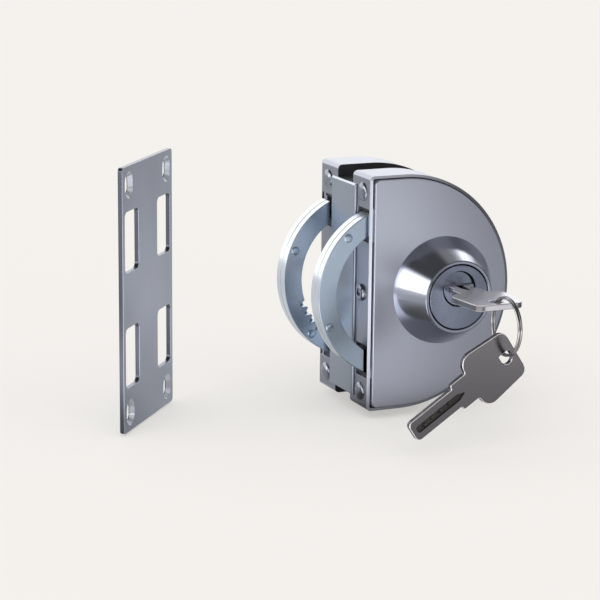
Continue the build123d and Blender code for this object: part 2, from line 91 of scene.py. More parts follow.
class Finish:
    # a material or world under construction
    def __init__(self, owner):
        owner.use_nodes = True
        self.tree = owner.node_tree
        self.tree.nodes.clear()

    def add(self, kind, settings=None, inputs=None, output=0):
        node = self.tree.nodes.new(kind)
        for key, value in (settings or {}).items():
            setattr(node, key, value)
        for key, value in (inputs or {}).items():
            if isinstance(value, Wire):
                self.tree.links.new(value.socket, node.inputs[key])
            else:
                node.inputs[key].default_value = value
        return Wire(self, node.outputs[output]) if node.outputs else node

    def place(self, stretch, turn=(0.0, 0.0, 0.0)):
        spot = self.add("ShaderNodeTexCoord", output="Object")
        return self.add("ShaderNodeMapping", {}, {"Vector": spot, "Scale": stretch, "Rotation": turn})

    def noise(self, vector, detail=3.0, rough=0.5):
        return self.add("ShaderNodeTexNoise", {}, {
            "Vector": vector, "Scale": 1.0, "Detail": detail, "Roughness": rough})

    def ease(self, value, low, high, start=0.0, end=1.0):
        return self.add("ShaderNodeMapRange", {"interpolation_type": "SMOOTHSTEP"}, {
            "Value": value, "From Min": low, "From Max": high, "To Min": start, "To Max": end})

    def blend(self, factor, first, second):
        # the colour sockets of a Mix node: factor 0, colours 6 and 7, result 2
        return self.add("ShaderNodeMix", {"data_type": "RGBA"}, {0: factor, 6: first, 7: second}, 2)

    def axes(self, coordinates):
        # the parts X, Y and Z of one kind of texture coordinates
        split = self.tree.nodes.new("ShaderNodeSeparateXYZ")
        self.tree.links.new(self.add("ShaderNodeTexCoord", output=coordinates).socket, split.inputs[0])
        return [Wire(self, socket) for socket in split.outputs]


def colour(red, green, blue):
    # a colour read off a screen, 0 to 255, as the linear one that Blender takes
    parts = [c / 255 for c in (red, green, blue)]
    return tuple(c / 12.92 if c <= 0.04045 else ((c + 0.055) / 1.055) ** 2.4 for c in parts) + (1.0,)


def scaled(tone, share):
    return tuple(min(1.0, c * share) for c in tone[:3]) + (1.0,)


# tone: colour; gloss: roughness; grain: stretch of the brush marks along X, Y, Z; depth: height of the
# marks in mm; cloud: how much the colour drifts; wear: share of rubbed spots; haze: share of the surface
# that scatters light; dust: share of specks; and the painted shade that darkens a face towards +X: its darkest
# share, and where in X it starts and ends, in mm
caseSteel = {"haze": 0.08, "gloss": 0.3, "grain": (900, 900, 60), "depth": 0.003, "cloud": 0.08, "wear": 0.3}
plateSteel = {"haze": 0.2, "gloss": 0.31, "grain": (900, 900, 46), "depth": 0.003, "cloud": 0.1, "wear": 0.3}
bevelSteel = {"grain": (500, 500, 200), "depth": 0.002, "cloud": 0.1, "wear": 0.3}
coneSteel = {"grain": (500, 500, 500), "depth": 0.001, "cloud": 0.04, "wear": 0.2}
coreSteel = {"dust": 0.04, "haze": 0.14, "grain": (240, 240, 240), "depth": 0.0001}
fixingSteel = {"grain": (600, 600, 600), "depth": 0.003, "cloud": 0.1, "wear": 0.4}
zincSteel = {"gloss": 0.2, "grain": (300, 300, 300), "depth": 0.002, "cloud": 0.05, "wear": 0.2}
keySteel = {"gloss": 0.22, "grain": (160, 160, 900), "depth": 0.004, "cloud": 0.12, "wear": 0.5}
metalFinishes = {
    "satinCover": {**plateSteel, "tone": colour(208, 212, 227), "gloss": 0.3, "cloud": 0.05, "wear": 0.15,
                   "paintedShade": (0.5, -10.0, 55.0)},
    "satinCase": {**caseSteel, "tone": colour(196, 198, 208)},
    "caseLipShade": {**caseSteel, "tone": colour(196, 198, 208), "paintedShade": (0.8, 2.0, 36.0)},
    "satinEdgeShade": {**caseSteel, "tone": colour(160, 163, 174)},
    "satinBridge": {**plateSteel, "tone": colour(171, 178, 190), "haze": 0.16},
    "satinStrike": {**plateSteel, "tone": colour(182, 186, 200), "grain": (900, 900, 40), "cloud": 0.12,
                    "wear": 0.35},
    "strikeSideShade": {**bevelSteel, "tone": colour(112, 116, 128), "haze": 0.05, "gloss": 0.22},
    "rimHighlight": {**bevelSteel, "tone": colour(222, 226, 236), "haze": 0.35, "gloss": 0.2},
    "coneLipShade": {**coneSteel, "tone": colour(150, 154, 168), "gloss": 0.2},
    "polishedCone": {**coneSteel, "tone": colour(203, 206, 218), "gloss": 0.13},
    "satinCylinder": {**coreSteel, "tone": colour(146, 153, 172), "gloss": 0.27, "cloud": 0.06, "wear": 0.3,
                      "paintedShade": (0.4, 12.0, 34.0)},
    "satinPlug": {**coreSteel, "tone": colour(144, 151, 168), "gloss": 0.25, "cloud": 0.08, "wear": 0.4,
                  "paintedShade": (0.3, 14.0, 30.0)},
    "zincBolt": {**zincSteel, "tone": colour(184, 199, 216), "haze": 0.12, "gloss": 0.25, "cloud": 0.06,
                 "wear": 0.25},
    "zincRivet": {**fixingSteel, "tone": colour(180, 196, 212), "gloss": 0.22, "grain": (500, 500, 500)},
    "screwSteel": {**fixingSteel, "tone": colour(206, 208, 216), "gloss": 0.2},
    "domeSteel": {**fixingSteel, "tone": colour(158, 160, 170), "gloss": 0.18},
    "clampSteel": {"tone": colour(150, 152, 158), "gloss": 0.34, "grain": (700, 700, 90), "depth": 0.005,
                   "cloud": 0.2, "wear": 0.4},
    "blackSteel": {"tone": colour(60, 60, 64), "gloss": 0.42, "grain": (800, 800, 800), "depth": 0.006,
                   "cloud": 0.3, "wear": 0.5},
    "springSteel": {"tone": colour(160, 160, 166), "gloss": 0.25, "grain": (900, 900, 900), "depth": 0.003,
                    "cloud": 0.1, "wear": 0.3},
    "pinBrass": {"tone": colour(196, 168, 110), "gloss": 0.3, "grain": (900, 900, 90), "depth": 0.004,
                 "cloud": 0.15, "wear": 0.4},
    "keyNickel": {**keySteel, "tone": colour(128, 124, 127)},
    "keyShade": {**keySteel, "tone": colour(124, 122, 127), "haze": 0.15, "gloss": 0.25},
    "keyEdgeHighlight": {**keySteel, "tone": colour(250, 248, 250), "haze": 0.5, "gloss": 0.2},
    "keyPaintedBright": {**keySteel, "tone": colour(222, 220, 226), "haze": 0.3},
    "channelShade": {"tone": colour(70, 72, 78), "gloss": 0.4, "grain": (500, 500, 500), "depth": 0.006,
                     "cloud": 0.3, "wear": 0.4},
    "boltRimHighlight": {**zincSteel, "tone": colour(240, 246, 252), "haze": 0.1},
    "keyGrooveShade": {"tone": colour(86, 82, 80), "gloss": 0.34, "grain": (700, 700, 200), "depth": 0.01,
                  "cloud": 0.4, "wear": 0.6},
    "ringNickel": {"tone": colour(182, 179, 178), "gloss": 0.15, "grain": (500, 500, 500), "depth": 0.002,
                   "cloud": 0.1, "wear": 0.3},
}


def metal(name, sizes):
    material = bpy.data.materials.new(name)
    make = Finish(material)
    marks = make.noise(make.place(sizes["grain"]), 4.0, 0.6)
    drift = make.noise(make.place((26, 26, 26)), 1.0)
    smear = make.noise(make.place((90, 90, 30), (0.3, 0.2, 0.5)), 4.0, 0.55)
    specks = make.noise(make.place((2600, 2600, 2600)), 1.0)
    rubbed = make.ease(smear, 0.55, 0.75) * sizes["wear"]
    dust = make.ease(specks, 0.70, 0.80) * sizes.get("dust", 0.25)
    cloud = make.ease(drift, 0.3, 0.7)
    own = sizes["tone"]
    tone = make.blend(cloud, scaled(own, 1 - sizes["cloud"] * 0.6), scaled(own, 1 + sizes["cloud"] * 0.4))
    tone = make.blend(marks * 0.12, tone, scaled(own, 0.7))
    tone = make.blend(dust, tone, scaled(own, 0.55))
    if "paintedShade" in sizes:
        # painted shade: a broad face is darker towards its right
        share, first, last = sizes["paintedShade"]
        across = make.axes("Object")[0]
        tone = make.blend(make.ease(across, first * mm, last * mm) * share, tone, scaled(own, 0.1))
    gloss = sizes["gloss"] * (0.86 + 0.28 * marks) + rubbed * 0.08
    bump = make.add("ShaderNodeBump", {}, {
        "Strength": 0.6, "Distance": sizes["depth"] * mm, "Height": marks})
    shader = make.add("ShaderNodeBsdfPrincipled", {}, {
        "Base Color": tone, "Metallic": 1 - sizes.get("haze", 0.0), "Roughness": gloss, "Normal": bump})
    make.add("ShaderNodeOutputMaterial", {}, {"Surface": shader})
    return material


def rubber(name, tone):
    material = bpy.data.materials.new(name)
    make = Finish(material)
    grit = make.noise(make.place((1500, 1500, 1500)))
    bloom = make.ease(make.noise(make.place((90, 90, 90))), 0.4, 0.8)
    shade = make.blend(bloom * 0.5, tone, scaled(tone, 2.2))
    bump = make.add("ShaderNodeBump", {}, {"Strength": 0.5, "Distance": 0.03 * mm, "Height": grit})
    shader = make.add("ShaderNodeBsdfPrincipled", {}, {
        "Base Color": shade, "Roughness": 0.6 + 0.2 * grit, "Normal": bump})
    make.add("ShaderNodeOutputMaterial", {}, {"Surface": shader})
    return material


finishes = {name: metal(name, sizes) for name, sizes in metalFinishes.items()}
finishes["padRubber"] = rubber("padRubber", colour(30, 30, 33))
finishes["liningAndShade"] = rubber("liningAndShade", colour(34, 34, 38))
recordSlot = {part["node"]: part["material_slot"] for part in frame["record"]["subparts"]}
print("finishes ready:", len(finishes))


def paint(piece, finish):
    piece.data.materials.clear()
    piece.data.materials.append(finishes[finish])


def standFor(piece, body, node):
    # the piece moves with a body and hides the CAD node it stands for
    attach(piece, body)
    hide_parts(node)


def closed(piece, sharp=32.0):
    # merges seams, turns the faces outwards and marks where the shading breaks
    shape = bmesh.new()
    shape.from_mesh(piece.data)
    bmesh.ops.remove_doubles(shape, verts=shape.verts, dist=0.002 * mm)
    bmesh.ops.dissolve_degenerate(shape, edges=shape.edges, dist=0.0005 * mm)
    bmesh.ops.recalc_face_normals(shape, faces=shape.faces)
    for face in shape.faces:
        face.smooth = True
    shape.to_mesh(piece.data)
    shape.free()
    piece.data.set_sharp_from_angle(angle=radians(sharp))


def settle(piece):
    # the modifiers' result becomes the plain mesh
    view = bpy.context.evaluated_depsgraph_get()
    result = bpy.data.meshes.new_from_object(piece.evaluated_get(view))
    piece.modifiers.clear()
    old = piece.data
    piece.data = result
    result.name = piece.name
    if old.users == 0:
        bpy.data.meshes.remove(old)
    return piece


def evenNormals(piece):
    piece.modifiers.new("even", "WEIGHTED_NORMAL").keep_sharp = True
    settle(piece)


def rounded(piece, width, steps, angle=35.0):
    # bevels the edges that turn by more than the angle
    bevel = piece.modifiers.new("edges", "BEVEL")
    bevel.width, bevel.segments, bevel.limit_method = width * mm, steps, "ANGLE"
    bevel.angle_limit, bevel.use_clamp_overlap, bevel.miter_outer = radians(angle), True, "MITER_ARC"
    settle(piece)


def pieceFromMesh(name, mesh):
    piece = bpy.data.objects.new(name, mesh)
    scene.collection.objects.link(piece)
    return piece


def smoothCopy(node, finish, width, steps, shapeFirst=None):
    # a CAD node's own shape with merged seams, rounded edges and smooth curves
    source = frame["nodes"][node]
    piece = pieceFromMesh(node + "Smooth", source.data.copy())
    closed(piece)
    flat = bmesh.new()
    flat.from_mesh(piece.data)
    bmesh.ops.dissolve_limit(flat, angle_limit=radians(0.5), verts=flat.verts, edges=flat.edges)
    flat.to_mesh(piece.data)
    flat.free()
    if shapeFirst:
        shapeFirst(piece)
    rounded(piece, width, steps)
    closed(piece, 40.0)
    evenNormals(piece)
    paint(piece, finish)
    standFor(piece, source["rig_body"], node)
    return piece


def polar(x, z, radius, angle):
    return (x + radius * cos(angle), z + radius * sin(angle))


def circlePoints(x, z, radius, count, start=0.0):
    return [polar(x, z, radius, start + 2 * pi * i / count) for i in range(count)]


def arcPoints(x, z, radius, first, last, count):
    return [polar(x, z, radius, first + (last - first) * i / count) for i in range(count + 1)]


def roundedRectangle(x, z, wide, high, radius):
    points = []
    for sx, sz, start in ((1, 1, 0), (-1, 1, pi / 2), (-1, -1, pi), (1, -1, 3 * pi / 2)):
        middle = (x + sx * (wide / 2 - radius), z + sz * (high / 2 - radius))
        points += arcPoints(*middle, radius, start, start + pi / 2, 8)
    return points


def slab(name, loops, low, high, edge, steps):
    # a plate from its outline and holes, between two heights along its own Z, with rounded edges
    curve = bpy.data.curves.new(name, "CURVE")
    curve.dimensions, curve.fill_mode = "2D", "BOTH"
    for loop in loops:
        spline = curve.splines.new("POLY")
        spline.points.add(len(loop) - 1)
        for point, (x, y) in zip(spline.points, loop):
            point.co = (x * mm, y * mm, 0.0, 1.0)
        spline.use_cyclic_u = True
    curve.bevel_depth, curve.bevel_resolution, curve.offset = edge * mm, steps, -edge * mm
    curve.extrude = ((high - low) / 2 - edge) * mm
    holder = bpy.data.objects.new(name + "Curve", curve)
    scene.collection.objects.link(holder)
    mesh = bpy.data.meshes.new_from_object(holder.evaluated_get(bpy.context.evaluated_depsgraph_get()))
    bpy.data.objects.remove(holder)
    mesh.name = name
    mesh.transform(Matrix.Translation((0, 0, (low + high) / 2 * mm)))
    piece = pieceFromMesh(name, mesh)
    closed(piece, 50.0)
    return piece


def facingFront(turnedOver):
    # a plate's own X, Y, Z to the lock's X, Z and -Y, from the front case's face, or turned to the rear one
    matrix = Matrix(((1, 0, 0, 0), (0, 0, -1, -lock["half"] * mm), (0, 1, 0, 0), (0, 0, 0, 1)))
    return Matrix.Rotation(pi, 4, "X") @ matrix if turnedOver else matrix


def lathe(name, profile, count):
    # a shape turned about its own Z from points of radius and height, ends on the axis or joined
    shape = bmesh.new()
    rings = []
    for radius, height in profile:
        around = circlePoints(0, 0, radius, count) if radius else [(0, 0)]
        rings.append([shape.verts.new((x * mm, y * mm, height * mm)) for x, y in around])
    for lower, upper in zip(rings, rings[1:] + ([rings[0]] if profile[0][0] else [])):
        for i in range(count):
            j = (i + 1) % count
            corners = [lower[i % len(lower)], lower[j % len(lower)]]
            corners += [upper[j % len(upper)], upper[i % len(upper)]]
            unique = [v for k, v in enumerate(corners) if v not in corners[:k]]
            if len(unique) > 2:
                shape.faces.new(unique)
    mesh = bpy.data.meshes.new(name)
    shape.to_mesh(mesh)
    shape.free()
    piece = pieceFromMesh(name, mesh)
    closed(piece, 40.0)
    return piece


def cutBy(piece, *cutters):
    # takes the cutters' shapes out of the piece
    for cutter in cutters:
        cut = piece.modifiers.new("cut", "BOOLEAN")
        cut.operation, cut.object, cut.solver = "DIFFERENCE", cutter, "EXACT"
    settle(piece)
    for cutter in cutters:
        bpy.data.objects.remove(cutter)
    closed(piece, 40.0)


def paintWhere(piece, finish, chosen):
    # a second finish on the faces that the test picks, by centre in mm and normal
    piece.data.materials.append(finishes[finish])
    slot = len(piece.data.materials) - 1
    for face in piece.data.polygons:
        if chosen(face.center / mm, face.normal):
            face.material_index = slot


def seat(piece, matrix, body, finish, node):
    # puts a finished piece in its place, on its body
    piece.data.transform(matrix)
    if matrix.determinant() < 0:
        piece.data.flip_normals()
    evenNormals(piece)
    paint(piece, finish)
    standFor(piece, body, node)


coverSizes = {"inset": 1.65, "corner": 2.3, "proud": 1.5, "back": -2.2, "edge": 0.4, "hole": 13.6}


def coverOutline():
    # the half-round outline of the case, moved in
    inset, corner = coverSizes["inset"], coverSizes["corner"]
    left, top = lock["edge"] + inset, lock["radius"] - inset
    points = arcPoints(left + corner, top - corner, corner, pi / 2, pi, 10)
    points += arcPoints(left + corner, corner - top, corner, pi, 3 * pi / 2, 10)
    points += arcPoints(lock["arc"], 0, top, -pi / 2, pi / 2, 160)
    return points


def makeCovers():
    sizes = coverSizes
    loops = [coverOutline(), circlePoints(lock["plug"], 0, sizes["hole"], 96)]
    for side in sides:
        piece = slab(side + "FacePlate", loops, sizes["back"], sizes["proud"], sizes["edge"], 5)
        seat(piece, facingFront(side == "rear"), "lock_body", "satinCover", side + "_cover")


coneSizes = {
    "base": 23.0, "top": 15.5, "bore": 13.9, "foot": 1.45, "footDeep": 0.4, "footRound": 0.25, "face": 16.5,
    "lipRound": 0.6, "lipInset": 0.55, "lipTurn": 0.15, "boreRound": 0.25, "lipBand": 0.7,
}


def makeCones():
    sizes = coneSizes
    slope = atan2(sizes["face"] - sizes["foot"], sizes["base"] - sizes["top"])
    under = sizes["foot"] - sizes["footDeep"]
    bore, base, foot = sizes["bore"], sizes["base"], sizes["foot"]
    profile = [(bore, under), (base - sizes["footRound"], under), (base, foot), (base - 0.06, foot + 0.35)]
    middle = (sizes["top"] - sizes["lipInset"], sizes["face"] - sizes["lipRound"])
    profile += arcPoints(*middle, sizes["lipRound"], pi / 2 - slope, pi / 2 + sizes["lipTurn"], 6)
    profile += [(bore + sizes["boreRound"], sizes["face"] - 0.03), (bore, sizes["face"] - 0.3)]

    def onLip(centre, normal):
        across = hypot(centre.x - lock["plug"], centre.z)
        return across < sizes["top"] - 0.05 and abs(centre.y) > lock["half"] + sizes["face"] - sizes["lipBand"]

    for side in sides:
        piece = lathe(side + "Collar", profile, 160)
        piece.data.transform(Matrix.Translation((lock["plug"] * mm, 0, 0)))
        seat(piece, facingFront(side == "rear"), "lock_body", "polishedCone", side + "_cone")
        # painted shade: the lip gets a darker copy of the polished finish
        paintWhere(piece, "coneLipShade", onLip)


plugSizes = {
    "radius": 6.95, "front": 16.2, "back": 2.0, "edge": 0.22, "moonRise": 1.6, "moonDeep": 1.4, "moonWide": 30,
    "moonHigh": 10, "slotWide": 9.3, "slotHigh": 2.9, "slotEnd": -1.5, "tail": 6.0, "tailEnd": -10.6,
}


def makePlug(side):
    # the turning core, with a half-moon step over the keyway and a square tail for the pinion
    sizes = plugSizes
    core = slab(side + "PlugCore", [circlePoints(0, 0, sizes["radius"], 96)],
                -sizes["back"], sizes["front"], sizes["edge"], 3)
    stepZ = sizes["moonHigh"] / 2 + sizes["moonRise"]
    step = roundedRectangle(0, stepZ, sizes["moonWide"], sizes["moonHigh"], 0.2)
    moon = slab("moon", [step], sizes["front"] - sizes["moonDeep"], sizes["front"] + 3, 0.05, 1)
    slot = roundedRectangle(0, 0, sizes["slotWide"], sizes["slotHigh"], 0.4)
    keyway = slab("keyway", [slot], sizes["slotEnd"], sizes["front"] + 3, 0.05, 1)
    cutBy(core, moon, keyway)
    rounded(core, 0.12, 2, 50.0)
    square = roundedRectangle(0, 0, sizes["tail"], sizes["tail"], 0.4)
    tail = slab("tail", [square], sizes["tailEnd"], 0.0, 0.2, 2)
    for piece in (core, tail):
        piece.data.transform(Matrix.Translation((lock["plug"] * mm, lock["rise"] * mm, 0)))
    join(core, tail)
    seat(core, facingFront(side == "rear"), side + "_plug", "satinPlug", side + "_plug")


def join(piece, *others):
    # several shells in one mesh
    shape = bmesh.new()
    for part in (piece, *others):
        shape.from_mesh(part.data)
    shape.to_mesh(piece.data)
    shape.free()
    for part in others:
        bpy.data.objects.remove(part)


cylinderSizes = {"radius": 13.5, "bore": 7.45, "back": -1.0, "face": 16.5, "edge": 0.28}


def makeCylinders():
    sizes = cylinderSizes
    loops = [circlePoints(lock["plug"], 0, sizes["radius"], 144),
             circlePoints(lock["plug"], lock["rise"], sizes["bore"], 96)]
    for side in sides:
        piece = slab(side + "CylinderFace", loops, sizes["back"], sizes["face"], sizes["edge"], 3)
        seat(piece, facingFront(side == "rear"), "lock_body", "satinCylinder", side + "_cylinder_body")
        makePlug(side)


# tipCut and rootCut: planes at these distances from the bolt's axis end the crescent, its tip just outside
# the case's edge while it is out, and its root just inside that edge while it is drawn in
boltSizes = {
    "outer": 36.7, "inner": 28.4, "front": -2.5, "middle": -6.5, "back": -10.5, "edge": 0.35, "toothEdge": 0.28,
    "gap": 0.02, "rootCut": 14.777, "tipCut": 15.627, "module": 1.35, "ringTeeth": 44, "pinionTeeth": 16,
    "spaces": 19, "root": 31.4, "press": radians(25.0),
    "rivetCircle": 33.9, "rivetAngles": (134.0, 202.0), "rivetRadius": 1.9, "rivetFlat": 1.5, "rivetRise": 0.3,
}


def involute(radius, pitchRadius):
    # how far a tooth's flank has turned at a radius, from where it crosses the pitch circle
    press = boltSizes["press"]
    angle = acos(min(1.0, pitchRadius * cos(press) / radius))
    return tan(angle) - angle - (tan(press) - press)


def crescentOutline(teeth):
    # from the root inside the case, round the outside to the tip, and back along the inner edge
    sizes = boltSizes
    throw = radians(360.0 * sizes["pinionTeeth"] / sizes["ringTeeth"])
    outer, inner, count = sizes["outer"], sizes["inner"], sizes["spaces"]

    def rootAngle(radius):
        return acos(sizes["rootCut"] / radius) - pi + throw

    def tipAngle(radius):
        return pi + acos(sizes["tipCut"] / radius)

    def arc(radius, start, end, steps):
        return arcPoints(lock["ringX"], 0, radius, start, end, steps)

    points = arc(outer, rootAngle(outer), tipAngle(outer), 150)
    if not teeth:
        return points + arc(inner, tipAngle(inner), rootAngle(inner), 130)
    step = 2 * pi / sizes["ringTeeth"]
    meshAngle = asin(lock["rise"] / (sizes["module"] * (sizes["ringTeeth"] - sizes["pinionTeeth"]) / 2))
    pitchRadius = sizes["module"] * sizes["ringTeeth"] / 2
    radii = [inner + (sizes["root"] - inner) * i / 3 for i in range(4)]
    flank = [(radius, step / 4 - involute(radius, pitchRadius)) for radius in radii]
    last, half = tipAngle(inner), flank[0][1]
    for number in reversed(range(count)):
        middle = meshAngle + step * number
        if middle - half < rootAngle(inner):
            break
        points += arc(inner, last, middle + half, 40 if number == count - 1 else 3)
        points += [polar(lock["ringX"], 0, radius, middle + turn) for radius, turn in flank[1:]]
        points += [polar(lock["ringX"], 0, radius, middle - turn) for radius, turn in flank[::-1]]
        last = middle - half
    return points + [polar(lock["ringX"], 0, inner, rootAngle(inner))]


def makeBolts():
    sizes = boltSizes

    def onRim(centre, normal):
        return abs(normal.y) < 0.3 and hypot(centre.x - lock["ringX"], centre.z) > sizes["outer"] - 0.2

    for side in sides:
        place = facingFront(side == "rear")
        plate = slab(side + "SmoothBolt", [crescentOutline(False)],
                     sizes["middle"] + sizes["gap"], sizes["front"], sizes["edge"], 3)
        seat(plate, place, side + "_bolt", "zincBolt", side + "_bolt_plate")
        toothed = slab(side + "ToothedBolt", [crescentOutline(True)],
                       sizes["back"], sizes["middle"] - sizes["gap"], sizes["toothEdge"], 2)
        seat(toothed, place, side + "_bolt", "zincBolt", side + "_toothed_plate")
        # painted highlight: the outer rim gets a brighter copy of the bolt's finish
        for part in (plate, toothed):
            paintWhere(part, "boltRimHighlight", onRim)


ringSizes = {
    "radius": 11.5, "turns": 1.95, "pitch": 1.05, "across": 1.0, "deep": 1.15,
    "centre": (21.6, -80.8, -3.4), "start": 320.0,
}


def nodeTree(name, *floats):
    # an empty Geometry Nodes tree with a geometry output and named sizes
    tree = bpy.data.node_groups.new(name, "GeometryNodeTree")
    tree.interface.new_socket("Geometry", in_out="INPUT", socket_type="NodeSocketGeometry")
    for label, value in floats:
        tree.interface.new_socket(label, in_out="INPUT", socket_type="NodeSocketFloat").default_value = value
    tree.interface.new_socket("Geometry", in_out="OUTPUT", socket_type="NodeSocketGeometry")
    return tree, tree.nodes.new("NodeGroupInput"), tree.nodes.new("NodeGroupOutput")


def finishTree(tree, output, last, finish):
    # every tree ends in Realize Instances and Set Material
    real = tree.nodes.new("GeometryNodeRealizeInstances")
    dress = tree.nodes.new("GeometryNodeSetMaterial")
    dress.inputs["Material"].default_value = finishes[finish]
    tree.links.new(last, real.inputs[0])
    tree.links.new(real.outputs[0], dress.inputs["Geometry"])
    tree.links.new(dress.outputs[0], output.inputs[0])


def grow(name, tree, sizes, points=((0, 0, 0),)):
    # a plain mesh piece from a tree, run on a few points
    mesh = bpy.data.meshes.new(name)
    mesh.from_pydata([tuple(c * mm for c in p) for p in points], [], [])
    piece = pieceFromMesh(name, mesh)
    modifier = piece.modifiers.new("grow", "NODES")
    modifier.node_group = tree
    for item in tree.interface.items_tree:
        if item.in_out == "INPUT" and item.name in sizes:
            modifier[item.identifier] = sizes[item.name]
    return settle(piece)


def ringTree():
    # two close turns of an oval wire
    tree, given, output = nodeTree(
        "SplitRing", ("Radius", 0.0115), ("Turns", 1.95), ("Rise", 0.002),
        ("Across", 0.0005), ("Deep", 0.0006))
    spiral = tree.nodes.new("GeometryNodeCurveSpiral")
    spiral.inputs["Resolution"].default_value = 96
    wire = tree.nodes.new("GeometryNodeCurvePrimitiveCircle")
    wire.inputs["Resolution"].default_value = 20
    squash = tree.nodes.new("GeometryNodeTransform")
    spread = tree.nodes.new("ShaderNodeCombineXYZ")
    sweep = tree.nodes.new("GeometryNodeCurveToMesh")
    sweep.inputs["Fill Caps"].default_value = True
    wire.inputs["Radius"].default_value = 1.0
    link = tree.links.new
    link(given.outputs["Radius"], spiral.inputs["Start Radius"])
    link(given.outputs["Radius"], spiral.inputs["End Radius"])
    link(given.outputs["Turns"], spiral.inputs["Rotations"])
    link(given.outputs["Rise"], spiral.inputs["Height"])
    link(given.outputs["Deep"], spread.inputs["X"])
    link(given.outputs["Across"], spread.inputs["Y"])
    spread.inputs["Z"].default_value = 1.0
    link(wire.outputs["Curve"], squash.inputs["Geometry"])
    link(spread.outputs[0], squash.inputs["Scale"])
    link(spiral.outputs[0], sweep.inputs["Curve"])
    link(squash.outputs[0], sweep.inputs["Profile Curve"])
    finishTree(tree, output, sweep.outputs[0], "ringNickel")
    return tree


def makeRing():
    sizes = ringSizes
    piece = grow("splitRingWire", ringTree(), {
        "Radius": sizes["radius"] * mm, "Turns": sizes["turns"], "Rise": sizes["pitch"] * sizes["turns"] * mm,
        "Across": sizes["across"] / 2 * mm, "Deep": sizes["deep"] / 2 * mm})
    centre = sizes["centre"]
    # the spiral's own Z runs along the lock's X, and its ends lie behind the bow of the spare key
    turn = Matrix(((0, 0, 1, 0), (1, 0, 0, 0), (0, 1, 0, 0), (0, 0, 0, 1)))
    left = centre[0] - sizes["pitch"] * sizes["turns"] / 2
    shift = Matrix.Translation([c * mm for c in (left, centre[1], centre[2])])
    piece.data.transform(shift @ turn @ Matrix.Rotation(radians(sizes["start"]), 4, "Z"))
    closed(piece, 60.0)
    paint(piece, "ringNickel")
    standFor(piece, "split_ring", "key_ring")


headSizes = {
    "rivetRadius": 4.0, "rivetRise": 1.4, "rivetZ": 42.6, "depth": 7.3, "screwRadius": 3.65, "screwRise": 1.4,
    "screwUnder": -0.6, "hexagon": 1.95, "socket": 0.2,
}


def domeTree():
    # one dome on each point: a ball pressed flat, with its flat side down
    tree, given, output = nodeTree("Domes", ("Radius", 0.004), ("Rise", 0.0014))
    ball = tree.nodes.new("GeometryNodeMeshUVSphere")
    ball.inputs["Segments"].default_value, ball.inputs["Rings"].default_value = 48, 24
    ball.inputs["Radius"].default_value = 1.0
    press = tree.nodes.new("GeometryNodeTransform")
    spread = tree.nodes.new("ShaderNodeCombineXYZ")
    put = tree.nodes.new("GeometryNodeInstanceOnPoints")
    soft = tree.nodes.new("GeometryNodeSetShadeSmooth")
    link = tree.links.new
    link(given.outputs["Radius"], spread.inputs["X"])
    link(given.outputs["Radius"], spread.inputs["Y"])
    link(given.outputs["Rise"], spread.inputs["Z"])
    link(ball.outputs["Mesh"], press.inputs["Geometry"])
    link(spread.outputs[0], press.inputs["Scale"])
    link(press.outputs[0], soft.inputs["Geometry"])
    link(given.outputs["Geometry"], put.inputs["Points"])
    link(soft.outputs[0], put.inputs["Instance"])
    finishTree(tree, output, put.outputs[0], "domeSteel")
    return tree


def edgeward():
    # own Z to the lock's -X, on the straight edge
    return Matrix(((0, 0, -1, lock["edge"] * mm), (1, 0, 0, 0), (0, -1, 0, 0), (0, 0, 0, 1)))


def makeEdgeFixings():
    sizes = headSizes
    domes = domeTree()
    radius, rise, under = sizes["screwRadius"], sizes["screwRise"], sizes["screwUnder"]
    profile = [(0, under), (radius, under), (radius, rise * 0.35), (radius - 0.25, rise * 0.7),
               (radius - 0.8, rise), (0, rise)]
    inputs = {"Radius": sizes["rivetRadius"] * mm, "Rise": sizes["rivetRise"] * mm}
    for side, sign in zip(sides, (-1, 1)):
        y, z = sign * (lock["half"] - sizes["depth"]), sizes["rivetZ"]
        heads = grow(side + "EdgeDomes", domes, inputs, [(y, -z, 0), (y, z, 0)])
        heads.data.transform(edgeward())
        closed(heads, 60.0)
        paint(heads, "domeSteel")
        standFor(heads, "lock_body", side + "_edge_rivets")
        head = lathe(side + "EdgeScrewHead", profile, 96)
        outline = circlePoints(0, 0, sizes["hexagon"], 6, pi / 6)
        hexagon = slab("hexagon", [outline], sizes["socket"], 3.0, 0.01, 1)
        cutBy(head, hexagon)
        head.data.transform(Matrix.Translation((y * mm, 0, 0)))
        seat(head, edgeward(), "lock_body", "domeSteel", side + "_edge_screw")


def buttonTree():
    # one flat button with a sloping rim on each point
    tree, given, output = nodeTree("Buttons", ("Radius", 0.0019), ("Flat", 0.0015), ("Rise", 0.0003))
    cone = tree.nodes.new("GeometryNodeMeshCone")
    cone.inputs["Vertices"].default_value = 48
    put = tree.nodes.new("GeometryNodeInstanceOnPoints")
    link = tree.links.new
    link(given.outputs["Radius"], cone.inputs["Radius Bottom"])
    link(given.outputs["Flat"], cone.inputs["Radius Top"])
    link(given.outputs["Rise"], cone.inputs["Depth"])
    link(given.outputs["Geometry"], put.inputs["Points"])
    link(cone.outputs["Mesh"], put.inputs["Instance"])
    finishTree(tree, output, put.outputs[0], "zincRivet")
    return tree


